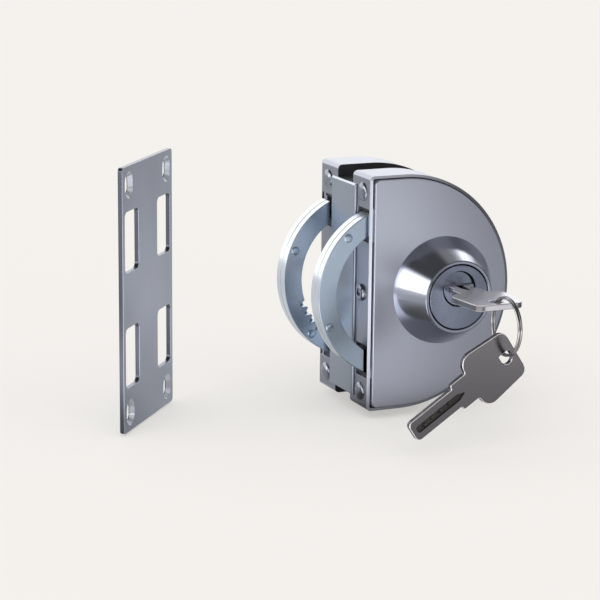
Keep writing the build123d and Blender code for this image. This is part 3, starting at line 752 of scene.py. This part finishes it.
def makeBoltRivets():
    sizes = boltSizes
    buttons = buttonTree()
    inputs = {"Radius": "rivetRadius", "Flat": "rivetFlat", "Rise": "rivetRise"}
    inputs = {name: sizes[size] * mm for name, size in inputs.items()}
    places = [polar(lock["ringX"], 0, sizes["rivetCircle"], radians(angle)) for angle in sizes["rivetAngles"]]
    for side in sides:
        for face, height, flip in (("Outer", sizes["front"], 1), ("Inner", sizes["back"], -1)):
            spots = [(flip * x, z, flip * height - sizes["gap"]) for x, z in places]
            heads = grow(side + face + "Rivets", buttons, inputs, spots)
            if flip < 0:
                heads.data.transform(Matrix.Rotation(pi, 4, "Y"))
            heads.data.transform(facingFront(side == "rear"))
            closed(heads, 30.0)
            rounded(heads, 0.1, 2, 30.0)
            closed(heads, 50.0)
            paint(heads, "zincRivet")
            standFor(heads, side + "_bolt", side + "_bolt_rivets")


strikeSizes = {
    "width": 56.0, "height": 110.0, "thick": 2.0, "corner": 1.6, "edge": 0.22,
    "window": (15.0, 25.0), "windowAt": (18.0, 24.0), "windowCorner": 2.4,
    "slot": (5.2, 7.7), "sinkWide": 9.0, "slotAt": (21.0, 47.2), "sinkShift": 0.25,
    "centre": (-96.1, 11.05, 2.2), "turn": radians(48.9),
}
corners = [(x, z) for x in (-1, 1) for z in (-1, 1)]


def upright(x, z, wide, high):
    # a slot with round ends, standing up
    half = (high - wide) / 2
    return arcPoints(x, z + half, wide / 2, 0, pi, 16) + arcPoints(x, z - half, wide / 2, pi, 2 * pi, 16)


def sinkCutter(x, z):
    # the tapered cut for a countersunk screw, from below the plate to above its face
    sizes = strikeSizes
    reach, shift = (sizes["sinkWide"] - sizes["slot"][0]) / 2, sizes["sinkShift"]
    shape = bmesh.new()
    rings = []
    for height, grown in ((-3.0, 0.0), (-reach + shift, 0.0), (0.0, reach - shift), (0.6, reach + 0.35)):
        outline = upright(x, z, sizes["slot"][0] + 2 * grown, sizes["slot"][1] + 2 * grown)
        rings.append([shape.verts.new((px * mm, pz * mm, height * mm)) for px, pz in outline])
    for lower, upper in zip(rings, rings[1:]):
        for i in range(len(lower)):
            j = (i + 1) % len(lower)
            shape.faces.new((lower[i], lower[j], upper[j], upper[i]))
    shape.faces.new(rings[0][::-1])
    shape.faces.new(rings[-1])
    bmesh.ops.recalc_face_normals(shape, faces=shape.faces)
    mesh = bpy.data.meshes.new("sinkCutter")
    shape.to_mesh(mesh)
    shape.free()
    return pieceFromMesh("sinkCutter", mesh)


def makeStrike():
    sizes = strikeSizes
    across, up = sizes["windowAt"]
    loops = [roundedRectangle(0, 0, sizes["width"], sizes["height"], sizes["corner"])]
    loops += [roundedRectangle(x * across, z * up, *sizes["window"], sizes["windowCorner"]) for x, z in corners]
    plate = slab("strikeFace", loops, -sizes["thick"], 0.0, sizes["edge"], 3)
    cutBy(plate, *[sinkCutter(x * sizes["slotAt"][0], z * sizes["slotAt"][1]) for x, z in corners])
    c, s = cos(sizes["turn"]), sin(sizes["turn"])
    place = Matrix.Translation([part * mm for part in sizes["centre"]])
    place = place @ Matrix(((c, 0, s, 0), (s, 0, -c, 0), (0, 1, 0, 0), (0, 0, 0, 1)))
    seat(plate, place, "strike", "satinStrike", "strike_plate")
    outward = Vector((s, -c, 0))
    # painted shade on the side faces, window walls and sinks, painted highlight on the rounded rims
    paintWhere(plate, "strikeSideShade", lambda centre, normal: abs(normal @ outward) <= 0.85)
    paintWhere(plate, "rimHighlight", lambda centre, normal: 0.2 < normal @ outward < 0.97)


keySizes = {
    "long": 54.0, "thick": 2.6, "blade": 23.0, "bladeWide": 9.0, "neck": 8.2, "neckWide": 12.5, "bow": 25.6,
    "bowEnd": 21.0, "rounds": (2.2, 0.6, 1.0, 1.0, 5.0, 3.5), "edge": 0.5, "tip": 2.0, "tilt": radians(33.2),
    "hole": 2.5, "holeCorner": 0.5, "holeFromEnd": 4.9, "wireHalf": 0.6, "wireSlack": 0.6,
    "groove": 3.0, "grooveDeep": 0.7, "grooveFrom": 2.0, "groovePast": 0.6, "groovePoint": 4.4,
    "grooveRounds": (1.2, 0.4, 0.3, 0.4, 1.2), "grooveSeen": (1.5, 29.0), "brightTip": 1.2, "plainBeside": 0.4,
    "dimpleShift": 0.3, "dimpleHalfway": 9.0,
    "dimples": ((6.0, 0.9), (10.0, 0.75), (14.5, 0.95), (19.0, 0.8)),
}


def roundCorners(points, radii, steps):
    # replaces the corners of a polygon by arcs
    result = []
    for i, radius in enumerate(radii):
        before, here, after = (Vector(points[k % len(points)]) for k in (i - 1, i, i + 1))
        a, b = (before - here).normalized(), (after - here).normalized()
        half = a.angle(b) / 2
        reach = radius / tan(half)
        centre = here + (a + b).normalized() * (radius / sin(half))
        first, last = here + a * reach - centre, here + b * reach - centre
        start = atan2(first.y, first.x)
        sweep = (atan2(last.y, last.x) - start + pi) % (2 * pi) - pi
        result += arcPoints(centre.x, centre.y, radius, start, start + sweep, steps)
    return result


def onBothSides(make):
    # a cutter for the key's upper side and the same turned over for its lower side
    cutters = [make(), make()]
    cutters[1].data.transform(Matrix.Rotation(pi, 4, "X"))
    return cutters


def keyBlank(name):
    # flat key from its tip along X, broad sides to +Z and -Z
    sizes = keySizes
    blade, bow, corner = sizes["blade"], sizes["blade"] + sizes["neck"], sizes["holeCorner"]
    half = [(0, sizes["bladeWide"] / 2), (blade, sizes["bladeWide"] / 2), (blade, sizes["neckWide"] / 2),
            (bow, sizes["neckWide"] / 2), (bow, sizes["bow"] / 2), (sizes["long"], sizes["bowEnd"] / 2)]
    points = [(x, -y) for x, y in half] + half[::-1]
    outline = roundCorners(points, sizes["rounds"] + sizes["rounds"][::-1], 8)
    # the hole is round below and square above
    middle, radius = sizes["long"] - sizes["holeFromEnd"], sizes["hole"]
    hole = arcPoints(middle, 0, radius, pi, 2 * pi, 20)
    hole += arcPoints(middle + radius - corner, radius - corner, corner, 0, pi / 2, 4)
    hole += arcPoints(middle - radius + corner, radius - corner, corner, pi / 2, pi, 4)
    blank = slab(name, [outline, hole], -sizes["thick"] / 2, sizes["thick"] / 2, sizes["edge"], 3)
    wide, deep = sizes["groove"] / 2, sizes["thick"] / 2 - sizes["grooveDeep"]
    near, far = sizes["grooveFrom"], blade + sizes["groovePast"]
    trough = [(near, -wide), (far, -wide), (blade + sizes["groovePoint"], 0), (far, wide), (near, wide)]
    trough = roundCorners(trough, sizes["grooveRounds"], 5)
    cutBy(blank, *onBothSides(lambda: slab("trough", [trough], deep, deep + 2.0, 0.3, 2)))

    def drill(along, radius):
        profile = [(0, -radius * 0.5), (radius * 0.55, -radius * 0.34), (radius, 0.0), (radius, 2.0), (0, 2.0)]
        cutter = lathe("drill", profile, 36)
        aside = sizes["dimpleShift"] * (1 if along > sizes["dimpleHalfway"] else -1)
        cutter.data.transform(Matrix.Translation((along * mm, aside * mm, deep * mm)))
        return cutter

    drills = [onBothSides(lambda: drill(*dimple)) for dimple in sizes["dimples"]]
    cutBy(blank, *[pair[side] for side in (0, 1) for pair in drills])
    closed(blank, 15.0)
    return blank


def dressKey(piece, place):
    # painted highlight on the bevels, painted shade on the flat edge and in the grooves, told apart in the
    # key's own directions
    sizes = keySizes
    back, turn = place.inverted(), place.to_3x3().inverted()
    wide, face = sizes["groove"] / 2, sizes["thick"] / 2 - sizes["grooveDeep"] / 2
    near, far = sizes["grooveSeen"]

    def outside(centre):
        spot = back @ (centre * mm) / mm
        return abs(spot.y) > wide + sizes["plainBeside"] or spot.x < sizes["brightTip"]

    def onBevel(centre, normal):
        return 0.2 < abs((turn @ normal).z) < 0.97 and outside(centre)

    def onEdge(centre, normal):
        return abs((turn @ normal).z) <= 0.2 and outside(centre)

    def inGroove(centre, normal):
        spot = back @ (centre * mm) / mm
        return abs(spot.z) < face and abs(spot.y) < wide + 0.02 and near < spot.x < far

    paintWhere(piece, "keyEdgeHighlight", onBevel)
    paintWhere(piece, "keyShade", onEdge)
    paintWhere(piece, "keyGrooveShade", inGroove)


def makeKeys():
    sizes = keySizes
    inLock = keyBlank("keyInTheLock")
    # the key's own X points out of the lock, its broad side up
    tip = (sizes["tip"] - lock["half"]) * mm
    plugX, plugZ = lock["plug"] * mm, lock["rise"] * mm
    inPlace = Matrix(((0, 1, 0, plugX), (-1, 0, 0, tip), (0, 0, 1, plugZ), (0, 0, 0, 1)))
    # painted highlight: the key in the lock gets a brighter copy of the key finish
    seat(inLock, inPlace, "inserted_key", "keyPaintedBright", "key_in_lock")
    spare = keyBlank("keyOnTheRing")
    tilt = sizes["tilt"]
    reach = sizes["long"] - sizes["holeFromEnd"]
    # the hole hangs on the lowest point of the ring
    ringY, ringZ = ringSizes["centre"][1:]
    holeZ = ringZ - ringSizes["radius"] + sizes["wireHalf"] + sizes["wireSlack"] - sizes["hole"]
    start = (lock["plug"] - reach * cos(tilt), ringY, holeZ - reach * sin(tilt))
    along, across = Vector((cos(tilt), 0, sin(tilt))), Vector((0, -1, 0))
    side = across.cross(along)
    place = Matrix([(along[i], side[i], across[i], start[i] * mm) for i in range(3)] + [(0, 0, 0, 1)])
    seat(spare, place, "hanging_key", "keyNickel", "spare_key")
    dressKey(spare, place)
    dressKey(inLock, inPlace)


# a case's rounded edges and slanting rim, and where its faces get another finish than its outside
caseSizes = {
    "edge": 0.2, "slant": 0.75, "channel": (9.2, 23.2), "channelFrom": -11.0, "channelRadius": 48.6,
    "lip": 24.2, "slotWall": 7.5,
}


def slantRim(piece):
    # the straight side of the case's rim leans outwards, so that it shines
    for vertex in piece.data.vertices:
        x, y = vertex.co.x / mm, abs(vertex.co.y) / mm
        if x < lock["edge"] + 0.3 and y > lock["half"] - 0.05:
            vertex.co.y *= (lock["half"] - caseSizes["slant"]) / lock["half"]


def makeCase(side, sign):
    sizes = caseSizes
    case = smoothCopy(side + "_case", "satinCase", sizes["edge"], 2, slantRim)

    def inChannel(centre, normal):
        return (centre.x > sizes["channelFrom"] and sizes["channel"][0] < abs(centre.y) < sizes["channel"][1]
                and hypot(centre.x - lock["arc"], centre.z) < sizes["channelRadius"])

    def onStraightEdge(centre, normal):
        return normal.x < -0.95 and centre.x < lock["edge"] + 0.2

    def towardGlass(centre, normal):
        return abs(abs(centre.y) - sizes["slotWall"]) < 0.3 and normal.y * sign < -0.9

    # painted shade: the faces in the channel inside the case are dark
    paintWhere(case, "channelShade", inChannel)
    # painted shade: the lip round the cover is darker, more so toward the right
    paintWhere(case, "caseLipShade", lambda centre, normal: abs(centre.y) > sizes["lip"])
    # painted shade: the straight edge face gets a darker copy of the case's finish
    paintWhere(case, "satinEdgeShade", onStraightEdge)
    paintWhere(case, "liningAndShade", towardGlass)


def makeBridge():
    face = lock["edge"] + 0.3
    bridge = smoothCopy("bridge", "satinBridge", 0.6, 3)
    # painted shade: the faces behind the bridge's outer face get the dark lining
    paintWhere(bridge, "liningAndShade", lambda centre, normal: centre.x > face)
    # painted highlight on the bridge's rounded top edge
    paintWhere(bridge, "rimHighlight", lambda centre, normal: centre.x < face and normal.z > 0.3)


makeCovers()
makeCones()
makeCylinders()
print("covers, collars and cylinders built")
makeBolts()
makeBoltRivets()
print("bolts built")
makeRing()
makeKeys()
print("ring and keys built")
makeEdgeFixings()
makeStrike()
makeCase("front", -1)
makeCase("rear", 1)
makeBridge()
print("strike, cases and bridge built")

# what stays as the CAD made it gets its finish by its slot
slotFinish = {
    "satin_steel": "satinCase", "polished_steel": "polishedCone", "nickel_brass": "satinCylinder",
    "bolt_steel": "zincBolt", "rivet_steel": "zincRivet", "zinc_steel": "clampSteel",
    "screw_steel": "screwSteel", "black_steel": "blackSteel", "spring_steel": "springSteel",
    "pin_brass": "pinBrass", "pad_rubber": "padRubber", "key_nickel": "keyNickel", "ring_steel": "ringNickel",
}
for node, slotName in recordSlot.items():
    paint(frame["nodes"][node], slotFinish[slotName])

# lamps: name, strength, turns about X and Y and spread in degrees; lampWhite: the light that metal mirrors
studio = {
    "floorZ": -53.6, "floorReach": 9000.0, "floorBrightest": 2.0, "roomBrightest": 4.1,
    "lampWhite": (0.97, 0.985, 1.0, 1.0), "lamps": (("keySun", 0.5, 24, -28, 60), ("fillSun", 0.3, 50, 30, 70)),
}


def rayKind(make, name):
    return make.add("ShaderNodeLightPath", output=name)


def makeFloor():
    mesh = bpy.data.meshes.new("studioFloor")
    reach, z = studio["floorReach"] * mm, studio["floorZ"] * mm
    square = [(-reach, -reach, z), (reach, -reach, z), (reach, reach, z), (-reach, reach, z)]
    mesh.from_pydata(square, [], [(0, 1, 2, 3)])
    floor = pieceFromMesh("studioFloor", mesh)
    material = bpy.data.materials.new("paper")
    make = Finish(material)
    x, y = make.axes("Object")[:2]
    # metal sees the same paper, bright behind and on the left, with a pool of light in front and a painted
    # shadow next to the lock's foot
    behind = make.ease(y, -0.01, 0.03) * make.ease(y, 0.05, 0.11, 0.42, 0.62)
    behind = behind * make.ease(y, 0.12, 0.24, 1.0, 0.6) * make.ease(x, -0.14, 0.0, 0.5, 1.0)
    leftFront = 1.5 * make.ease(x, -0.02, -0.05) * make.ease(x, -0.3, -0.2) * make.ease(y, -0.02, -0.06)
    leftSide = 0.35 * make.ease(x, -0.04, -0.16) * make.ease(y, -0.06, -0.02)
    front = make.ease(y, -0.037, -0.078, 0.0, 0.45) + make.ease(y, -0.12, -0.26, 0.0, 0.42)
    mirrored = 0.1 + behind + leftFront + leftSide + front * make.ease(x, 0.34, 0.2)
    paper = make.add("ShaderNodeBsdfDiffuse", {}, {"Color": colour(250, 247, 245)})
    bright = make.add("ShaderNodeEmission", {}, {"Color": colour(245, 244, 240), "Strength": 1.0})
    dark = make.add("ShaderNodeEmission", {}, {"Strength": 0.0})
    brightest = studio["floorBrightest"]
    strong = make.add("ShaderNodeEmission", {}, {"Color": studio["lampWhite"], "Strength": brightest})
    reflected = make.add("ShaderNodeMixShader", {}, {0: mirrored * (1 / brightest), 1: dark, 2: strong})
    # half of the paper's brightness is its own, so the shadow on it stays faint
    plain = make.add("ShaderNodeMixShader", {}, {0: 0.5 * rayKind(make, "Is Camera Ray"), 1: paper, 2: bright})
    surface = make.add("ShaderNodeMixShader", {}, {0: rayKind(make, "Is Glossy Ray"), 1: plain, 2: reflected})
    make.add("ShaderNodeOutputMaterial", {}, {"Surface": surface})
    mesh.materials.append(material)


def makeLight():
    world = bpy.data.worlds.new("studio")
    scene.world = world
    make = Finish(world)
    x, y, z = make.axes("Generated")
    # the metal sees a white sweep behind, a soft box on the left and a lamp above, and a dark room elsewhere
    sweep = make.ease(y, 0.25, 0.5) * make.ease(z - 0.45 * x, 0.85, 0.6)
    sweep = sweep * (1 - 0.75 * make.ease(x, 0.55, 0.72) * make.ease(z, 0.5, 0.3))
    leftBox = make.ease(x, -0.76, -0.9) * make.ease(z, 0.66, 0.5)
    ceiling = make.ease(z, 0.7, 0.8) * make.ease(x, -0.1, 0.15)
    wall = make.ease(y, -0.35, -0.7) * make.ease(z, 0.62, 0.35)
    topLamp = make.ease(y, 0.26, 0.38) * make.ease(y, 0.6, 0.46)
    topLamp = topLamp * make.ease(z, 0.5, 0.62) * make.ease(x, 0.46, 0.6)
    brightest = studio["roomBrightest"]
    seen = 0.07 + 1.3 * sweep + 2.2 * leftBox + 0.5 * wall + 0.2 * ceiling + topLamp
    dark = make.add("ShaderNodeBackground", {}, {"Strength": 0.0})
    strong = make.add("ShaderNodeBackground", {}, {"Color": studio["lampWhite"], "Strength": brightest})
    room = make.add("ShaderNodeMixShader", {}, {0: seen * (1 / brightest), 1: dark, 2: strong})
    # the lock is lit evenly from all sides, and the camera sees the backdrop of the photo
    even = make.add("ShaderNodeBackground", {}, {"Color": colour(250, 248, 245), "Strength": 0.80})
    backdrop = make.add("ShaderNodeBackground", {}, {"Color": colour(244, 242, 238), "Strength": 1.0})
    plain = make.add("ShaderNodeMixShader", {}, {0: rayKind(make, "Is Camera Ray"), 1: even, 2: backdrop})
    surface = make.add("ShaderNodeMixShader", {}, {0: rayKind(make, "Is Glossy Ray"), 1: plain, 2: room})
    make.add("ShaderNodeOutputWorld", {}, {"Surface": surface})
    for name, power, turnX, turnY, spread in studio["lamps"]:
        lamp = bpy.data.lights.new(name, "SUN")
        lamp.energy, lamp.angle = power, radians(spread)
        holder = bpy.data.objects.new(name, lamp)
        holder.visible_glossy = False
        holder.rotation_euler = (radians(turnX), radians(turnY), 0)
        scene.collection.objects.link(holder)


# solved from the outlines in the photo: lens and sensor in mm, the rest in metres
camera = {
    "lens": 130.17, "sensor": 36.0, "near": 0.05, "far": 60.0,
    "right": (0.91471, -0.40400, 0.00939), "up": (0.08253, 0.20949, 0.97432),
    "back": (-0.39560, -0.89045, 0.22497), "spot": (-0.39433, -0.81474, 0.20046),
}


def makeCamera():
    lens = bpy.data.cameras.new("photoCamera")
    lens.lens, lens.sensor_width = camera["lens"], camera["sensor"]
    lens.clip_start, lens.clip_end = camera["near"], camera["far"]
    eye = bpy.data.objects.new("photoCamera", lens)
    columns = [camera[way] for way in ("right", "up", "back", "spot")]
    eye.matrix_world = Matrix([[column[i] for column in columns] for i in range(3)] + [(0, 0, 0, 1)])
    scene.collection.objects.link(eye)
    scene.camera = eye


makeFloor()
makeLight()
makeCamera()
scene.view_settings.view_transform = "Standard"
print("floor, light and camera ready")
